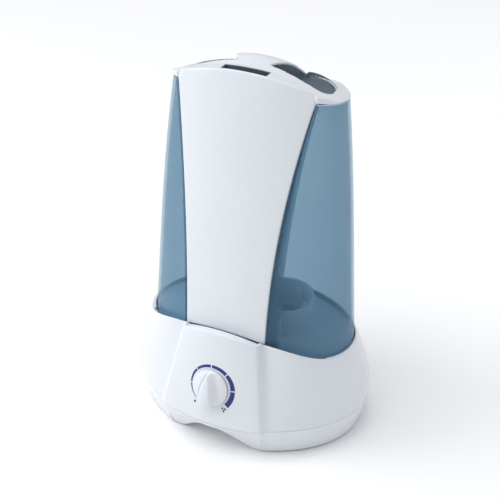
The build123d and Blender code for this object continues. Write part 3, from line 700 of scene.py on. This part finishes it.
def towerPath(column):
    stretch, t = shareIn(column, list(towerRing.values()))
    share = {0: slotShare * t, 1: lerp(slotShare, 0.967, t)}.get(stretch, 1.0)
    topZ = towerTop(share)
    top = (*towerSection(column, topZ), topZ)
    seam = (top[0], max(seamY(top[0]), top[1]), topZ)
    depth = seam[1] - top[1] if stretch < 2 else 0.0
    turn = min(tower["topRound"], depth * 0.2)
    bottomZ = tower["z"] + 5.0 * (1 - min(share, 1.0) ** 2)
    path = []
    for i in range(towerRows["face"] + 1):
        z = lerp(bottomZ, topZ - turn, i / towerRows["face"])
        path.append((*towerSection(column, z), z))
    roofStart = (top[0], top[1] + turn, topZ)
    brow = [path[-1], top, roofStart]
    path += [bezier(brow, i / towerRows["turn"]) for i in range(1, towerRows["turn"] + 1)]
    slotStart, slotEnd = top[1] + depth * 0.209, top[1] + depth * 0.793
    if stretch == 0:
        slotStart = faceMid(tower["crownZ"]) + tower["slotFront"] + top[0] ** 2 / (2 * tower["faceRadius"])
        slotEnd = slotStart + tower["slotDepth"]
    for y in (slotStart, (slotStart + slotEnd) / 2, slotEnd, seam[1]):
        path.append((top[0], y if depth > 0 else top[1], topZ))
    return path


def towerFront():
    paths = [towerPath(column) for column in range(towerColumns + 1)]
    rows = len(paths[0]) - 1

    def place(column, row):
        x, y, z = paths[abs(column - towerColumns)][row]
        return math.copysign(x, column - towerColumns), y, z
    piece = skin("towerFront", 2 * towerColumns, rows, place, (0, 60, 200))
    # the mist slot is left open
    slotHalf = tower["slotHalf"] * mm
    front = faceMid(tower["crownZ"]) + tower["slotFront"]
    editAll(piece)
    bpy.ops.mesh.select_all(action="DESELECT")
    bpy.ops.mesh.select_mode(type="FACE")
    bpy.ops.object.mode_set(mode="OBJECT")
    for p in piece.data.polygons:
        x, y = p.center.x / mm, p.center.y / mm
        start = front + x ** 2 / (2 * tower["faceRadius"])
        onRoof = p.normal.z > 0.9 and p.center.z > 0.34
        p.select = onRoof and abs(p.center.x) < slotHalf and start < y < start + tower["slotDepth"]
    bpy.ops.object.mode_set(mode="EDIT")
    bpy.ops.mesh.delete(type="FACE")
    bpy.ops.object.mode_set(mode="OBJECT")
    useModifier(piece, "SOLIDIFY", thickness=tower["wall"] * mm, offset=-1.0, use_even_offset=True,
                thickness_clamp=1.0)
    smoothBy(piece, 40)
    return settle(piece, materials["glossAbs"], "white_shell", "tank", "tower_front")


nozzle = {"lowZ": 337.0, "wall": 0.8, "clear": 0.1, "sunk": 0.3}


def mistNozzle():
    # slate liner that shows as the walls of the mist slot; its dark slate is painted shade inside the slot
    front = faceMid(tower["crownZ"]) + tower["slotFront"] + nozzle["clear"]
    half, depth = tower["slotHalf"] - nozzle["clear"], tower["slotDepth"] - 2 * nozzle["clear"]
    edge = [(lerp(-half, half, i / 16), 0.0) for i in range(16)]
    edge += [(half, depth * i / 4) for i in range(4)]
    edge += [(lerp(half, -half, i / 16), depth) for i in range(16)]
    edge += [(-half, depth * (1 - i / 4)) for i in range(4)]
    outline = [(x, front + y + x ** 2 / (2 * tower["faceRadius"])) for x, y in edge]
    count = len(outline)

    def place(column, row):
        x, y = outline[column % count]
        return x, y, lerp(vaultZ(x) - nozzle["sunk"], nozzle["lowZ"], row / 6)
    piece = skin("mistNozzle", count, 6, place, (0, front + depth / 2, 345))
    useModifier(piece, "SOLIDIFY", thickness=nozzle["wall"] * mm, offset=-1.0, use_even_offset=True)
    smoothBy(piece, 40)
    return settle(piece, materials["paintedShadeSlate"], "slate", "tank", "mist_nozzle")


# a thin slate sheet beside each flank of the tower, painted shade of the gap to the tank
towerShadeStrip = {"standOff": 0.25, "thick": 0.3, "lowZ": 104.0, "underTop": 7.0, "least": 3.6}


def sideShadeStrip(side, name):
    # thin slate sheet where the tower's flank meets the tank: painted shade in the gap between them
    topZ = towerTop(1.0) - towerShadeStrip["underTop"]

    def place(column, row):
        z = lerp(towerShadeStrip["lowZ"], topZ, row / 30)
        front, back = towerSection(towerColumns - towerRing["flange"], z), towerSection(towerColumns, z)
        deep = max(back[1], front[1] + towerShadeStrip["least"])
        return side * (front[0] + towerShadeStrip["standOff"]), lerp(front[1], deep, column / 3), z
    piece = skin(name, 3, 30, place, (0, -20, 220))
    useModifier(piece, "SOLIDIFY", thickness=towerShadeStrip["thick"] * mm, offset=0.0)
    smoothBy(piece, 40)
    return settle(piece, materials["paintedShadeSlate"], "slate", "tank")


towerFront()
mistNozzle()
sideShadeStrip(-1, "leftTowerShadeStrip")
sideShadeStrip(1, "rightTowerShadeStrip")
print("tower made")


capMesh = {"voxel": 0.8, "smooth": 6}   # the moulding's edges come out rounded by about a voxel


def topCap():
    piece = cleanCopy("top_cap", "topCap")
    useModifier(piece, "REMESH", mode="VOXEL", voxel_size=capMesh["voxel"] * mm)
    useModifier(piece, "SMOOTH", factor=0.5, iterations=capMesh["smooth"])
    smoothBy(piece, 60)
    return settle(piece, materials["glossAbs"], "white_shell", "tank", "top_cap")


# the slate cups under the cap's openings, painted shade inside the wells
well = {"floorZ": 331.0, "grow": 1.2, "under": 2.0, "wall": 1.2, "floorRound": 5.0}


def wellOutline(side, grow):
    tip, front = (15.0 - grow, 13.0 - grow), (62.0, 10.0 - grow)
    right, rear, low = (69.5 + grow, 23.0), (60.0, 46.0 + grow), (31.0, 60.0 + grow)
    stretches = [
        ([tip, front], 12),
        ([front, (68.0 + grow, 10.0 - grow), (70.5 + grow, 16.0), right], 8),
        ([right, (68.5 + grow, 32.0), (66.0 + grow, 40.0), rear], 8),
        ([rear, (50.0, 56.0 + grow), (38.0, 62.0 + grow), low], 8),
        ([low, (29.0 - grow, 46.0), (29.0 - grow, 30.0), tip], 12),
    ]
    points = [bezier(curve, i / count) for curve, count in stretches for i in range(count)]
    return [(side * x, y) for x, y in points]


def shadeWellLiner(side, name, cap):
    # slate cup under each opening in the cap, down to the roof of the water space; its dark slate is painted
    # shade inside the wells
    outline = wellOutline(side, well["grow"])
    middle = (sum(x for x, _ in outline) / len(outline), sum(y for _, y in outline) / len(outline))
    paths = []
    for x, y in outline:
        wide = Vector((x + (x - middle[0]) * 0.06, y + (y - middle[1]) * 0.06, 400)) * mm
        hit, place, _, _ = cap.ray_cast(wide, (0, 0, -1))
        top = place.z / mm - well["under"] if hit else 330.0
        turn = well["floorRound"]
        inward = between((x, y), middle, turn / math.dist((x, y), middle))
        wall = [(x, y, lerp(top, well["floorZ"] + turn, i / 4)) for i in range(5)]
        corner = [wall[-1], (x, y, well["floorZ"]), (*inward, well["floorZ"])]
        bend = [bezier(corner, i / 4) for i in range(1, 5)]
        flat = [(*between(inward, middle, i / 4), well["floorZ"]) for i in range(1, 5)]
        paths.append(wall + bend + flat)
    piece = skin(name, len(outline), len(paths[0]) - 1, lambda column, row: paths[column % len(outline)][row],
                 (*middle, 300))
    useModifier(piece, "SOLIDIFY", thickness=well["wall"] * mm, offset=0.0)
    smoothBy(piece, 45)
    return settle(piece, materials["paintedShadeSlate"], "slate", "tank")


cap = topCap()
shadeWellLiner(-1, "leftShadeWellLiner", cap)
shadeWellLiner(1, "rightShadeWellLiner", cap)
print("cap made")


dial = {"z": 68.4, "knobRadius": 18.0, "rimHeight": 2.0, "dish": 4.2, "segments": 120, "gripHalf": 8.0,
        "gripTip": 17.0, "gripLow": -15.0, "gripHeight": 12.2, "gripFall": 4.2, "gripSteep": 3.0,
        "gripSlope": 8.0, "groove": 0.9}
panelUp = Vector((0, math.sin(base["lean"]), math.cos(base["lean"])))
panelOut = Vector((0, -math.cos(base["lean"]), math.sin(base["lean"])))
dialCentre = Vector((0, panelMid(dial["z"]), dial["z"]))


def knobHeight(u, v):
    # low dome with a drop-shaped grip, its tip up
    r = math.hypot(u, v) / dial["knobRadius"]
    dome = dial["rimHeight"] + dial["dish"] * (1 - r ** 2.4)
    along = (v - dial["gripLow"]) / (dial["gripTip"] - dial["gripLow"])
    half = dial["gripHalf"] * (1 - min(1.0, abs(along)) ** 2.6)
    side = dial["gripSteep"] if u < 0 else dial["gripSlope"]
    edge = min(1.0, max(0.0, (half + side / 2 - abs(u)) / side))
    crest = dial["gripHeight"] - dial["gripFall"] * ((v + 2.0) / dial["knobRadius"]) ** 2 - 0.03 * u ** 2
    groove = dial["groove"] * math.exp(-((u + half + 1.6) / 0.6) ** 2) * min(1.0, half / 3)
    return lerp(dome, max(crest, dome), edge * edge * (3 - 2 * edge)) - groove


def controlKnob():
    radius = dial["knobRadius"]
    wall = [(radius - 0.8, 0.7), (radius - 0.2, 0.8), (radius, 1.1), (radius, 1.7), (radius - 0.3, 2.2),
            (radius - 0.9, 2.6)]
    inward = 54
    rings = len(wall) + inward

    def place(column, row):
        angle = 2 * math.pi * column / dial["segments"]
        if row < len(wall):
            r, height = wall[row]
            u, v = r * math.cos(angle), r * math.sin(angle)
        else:
            r = lerp(radius - 0.9, 0.0, (row - len(wall) + 1) / (inward + 1))
            u, v = r * math.cos(angle), r * math.sin(angle)
            height = knobHeight(u, v)
            if row - len(wall) < 3:
                height = lerp(2.6, height, (row - len(wall) + 1) / 4)
        return dialCentre + Vector((u, 0, 0)) + panelUp * v + panelOut * height
    piece = skin("controlKnob", dial["segments"], rings, place, (0, -60, 60))
    smoothBy(piece, 50)
    return settle(piece, materials["glossAbs"], "white_shell", "knob", "control_knob")


def onPanel(u, v, lift):
    z = dial["z"] + v * math.cos(base["lean"])
    _, inner, midY = frontCorners(z)
    rise = inner[1] - midY
    radius = (inner[0] ** 2 + rise ** 2) / (2 * rise)
    surface = Vector((u, midY + radius - math.sqrt(radius ** 2 - u ** 2), z))
    return surface + panelOut * lift


ringPrint = {"inner": 20.1, "start": 227.0, "sweep": 269.0, "parts": 6, "gap": 3.0, "thin": 0.35,
             "thick": 5.0,
             "growth": 0.85, "film": 0.12}


def printedRing():
    # six wedges of ink that widen clockwise round the knob
    made = []
    share = ringPrint["sweep"] / ringPrint["parts"]
    for part in range(ringPrint["parts"]):
        def place(column, row):
            along = part * share + (share - ringPrint["gap"]) * column / 14
            angle = math.radians(ringPrint["start"] - along)
            swell = (along / ringPrint["sweep"]) ** ringPrint["growth"]
            width = lerp(ringPrint["thin"], ringPrint["thick"], swell)
            r = ringPrint["inner"] + width * row / 3
            return onPanel(r * math.cos(angle), r * math.sin(angle), ringPrint["film"])
        piece = skin(f"ringPrint{part + 1}", 14, 3, place, (0, 0, 60))
        useModifier(piece, "SOLIDIFY", thickness=0.3 * mm, offset=-1.0)
        smoothBy(piece, 40)
        made.append(settle(piece, materials["padInk"], "slate", "base"))
    return made


dropPrint = [   # place and radius
    (-15.0, -19.2, 1.0), (14.3, -17.8, 0.9), (16.8, -17.8, 0.9), (15.7, -20.2, 0.9)]


def printedDrops():
    for number, (u0, v0, size) in enumerate(dropPrint):
        def place(column, row):
            angle = 2 * math.pi * column / 24
            r = size * row / 4
            tail = max(0.0, math.sin(angle)) ** 6 * 1.1
            u = u0 + r * math.cos(angle) * (1 - 0.35 * tail)
            return onPanel(u, v0 + r * math.sin(angle) * (1 + tail), ringPrint["film"])
        piece = skin(f"dropPrint{number + 1}", 24, 4, place, (0, 0, 60))
        useModifier(piece, "SOLIDIFY", thickness=0.3 * mm, offset=-1.0)
        settle(piece, materials["padInk"], "slate", "base")


controlKnob()
printedRing()
printedDrops()
print("knob and print made")


keptShapes = {   # finish, slot, edge rounding in mm, nodes
    "grey": ("greyPolypropylene", "grey_plastic", 0.3,
             ["potentiometer_body", "transducer_retainer", "float_clip", "reed_sensor", "fan_housing",
              "fan_impeller", "air_duct", "tank_cap", "valve_plunger"]),
    "white": ("glossAbs", "white_shell", 0.3, ["basin"]),
    "blue": ("frostedSan", "tank_blue", 0.3, ["tank_floor"]),
    "rubber": ("nitrileRubber", "rubber", 0.5, ["rubber_feet", "cord_grommet"]),
    "steel": ("zincSteel", "steel", 0.15,
              ["housing_screws", "retainer_screws", "fan_screws", "board_screws", "transformer_screws",
               "fan_shaft", "transducer_disc", "transformer_core"]),
    "brass": ("turnedBrass", "brass", 0.15, ["pot_shaft", "pot_nut"]),
    "board": ("solderMask", "board", 0.15, ["control_board", "driver_board"]),
    "winding": ("enamelledWire", "winding", 0.4, ["transformer_winding"]),
    "aluminium": ("anodisedAluminium", "aluminium", 0.15, ["heat_sink"]),
    "seal": ("siliconeSeal", "seal", 0.2, ["transducer_gasket", "cap_gasket", "valve_seal"]),
    "foam": ("cellFoam", "white_foam", 0.8, ["float"]),
}


def keptShape(node, finish, slotName, rounding):
    words = node.split("_")
    piece = cleanCopy(node, words[0] + "".join(word.title() for word in words[1:]) + "Shape")
    useModifier(piece, "BEVEL", width=rounding * mm, segments=2, limit_method="ANGLE",
                angle_limit=math.radians(40))
    smoothBy(piece, 40)
    return settle(piece, materials[finish], slotName, bodyOf[node], node)


for finish, slotName, rounding, nodes in keptShapes.values():
    for node in nodes:
        keptShape(node, finish, slotName, rounding)
print("kept shapes made")

spring = {"x": 25.0, "y": 27.0, "low": 80.5, "high": 93.6, "coil": 3.4, "wire": 0.45, "turns": 6,
          "travel": 5.0}


def valveSpring():
    deselectAll()
    bpy.ops.mesh.primitive_circle_add(vertices=12, radius=spring["wire"] * mm, rotation=(math.pi / 2, 0, 0),
                                      location=(0, 0, 0))
    piece = bpy.context.object
    piece.name = "valveSpring"
    bpy.ops.object.transform_apply(location=True, rotation=True, scale=True)
    piece.data.transform(Matrix.Translation((spring["coil"] * mm, 0, (spring["low"] + spring["wire"]) * mm)))
    pitch = (spring["high"] - spring["low"] - 2 * spring["wire"]) / spring["turns"]
    useModifier(piece, "SCREW", steps=24, render_steps=24, iterations=spring["turns"],
                screw_offset=pitch * mm, use_merge_vertices=False)
    piece.data.transform(Matrix.Translation((spring["x"] * mm, spring["y"] * mm, 0)))
    editAll(piece)
    bpy.ops.mesh.normals_make_consistent(inside=False)
    bpy.ops.object.mode_set(mode="OBJECT")
    smoothBy(piece, 60)
    settle(piece, materials["zincSteel"], "steel", bodyOf["valve_spring"], "valve_spring")
    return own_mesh(piece)


valveSpring()
print("spring made")


studio = {"floor": "#fbfbfb", "sky": "#f7faff", "skyStrength": 0.47,
          "azimuth": 26.5, "elevation": 31.75, "distance": 950.4, "target": (2.7, 0.0, 177.3), "lens": 73.43}
lamps = {   # place, what it is aimed at, size, watts
    "key": ((-1500, -700, 1000), (0, 0, 180), 1100, 13),
    "rim": ((900, 900, 900), (0, 0, 220), 700, 3),
}
sunLamp = {"place": (-400, -300, 1600), "strength": 1.35, "spread": 50}


def aimed(thing, target):
    thing.rotation_euler = (Vector(target) * mm - thing.location).to_track_quat("-Z", "Y").to_euler()


def studioFloor():
    deselectAll()
    bpy.ops.mesh.primitive_plane_add(size=12)
    floor = bpy.context.object
    floor.name = "studioFloor"
    material, shader, _ = newMaterial("matteFloor")
    shader.inputs["Base Color"].default_value = linearColour(studio["floor"])
    shader.inputs["Roughness"].default_value = 0.9
    shader.inputs["Specular IOR Level"].default_value = 0.1
    floor.data.materials.append(material)


def studioLight():
    world = bpy.data.worlds.new("studioSky")
    world.use_nodes = True
    sky = world.node_tree.nodes["Background"]
    sky.inputs["Color"].default_value = linearColour(studio["sky"])
    sky.inputs["Strength"].default_value = studio["skyStrength"]
    bpy.context.scene.world = world
    for name, (place, target, size, watts) in lamps.items():
        data = bpy.data.lights.new(name, "AREA")
        data.size = size * mm
        data.energy = watts
        lamp = bpy.data.objects.new(name, data)
        bpy.context.scene.collection.objects.link(lamp)
        lamp.location = Vector(place) * mm
        aimed(lamp, target)
    data = bpy.data.lights.new("overhead", "SUN")
    data.energy = sunLamp["strength"]
    data.angle = math.radians(sunLamp["spread"])
    lamp = bpy.data.objects.new("overhead", data)
    bpy.context.scene.collection.objects.link(lamp)
    lamp.location = Vector(sunLamp["place"]) * mm
    aimed(lamp, (0, 0, 0))
    bpy.context.scene.view_settings.view_transform = "Standard"
    bpy.context.scene.cycles.transparent_max_bounces = 32   # the tank's walls lie many deep


def studioCamera():
    around, up = math.radians(studio["azimuth"]), math.radians(studio["elevation"])
    way = Vector((math.sin(around) * math.cos(up), -math.cos(around) * math.cos(up), math.sin(up)))
    data = bpy.data.cameras.new("camera")
    data.lens = studio["lens"]
    data.sensor_width = 36.0
    data.clip_end = 50.0
    camera = bpy.data.objects.new("camera", data)
    bpy.context.scene.collection.objects.link(camera)
    camera.location = (Vector(studio["target"]) + way * studio["distance"]) * mm
    aimed(camera, studio["target"])
    bpy.context.scene.camera = camera


studioFloor()
studioLight()
studioCamera()
deselectAll()
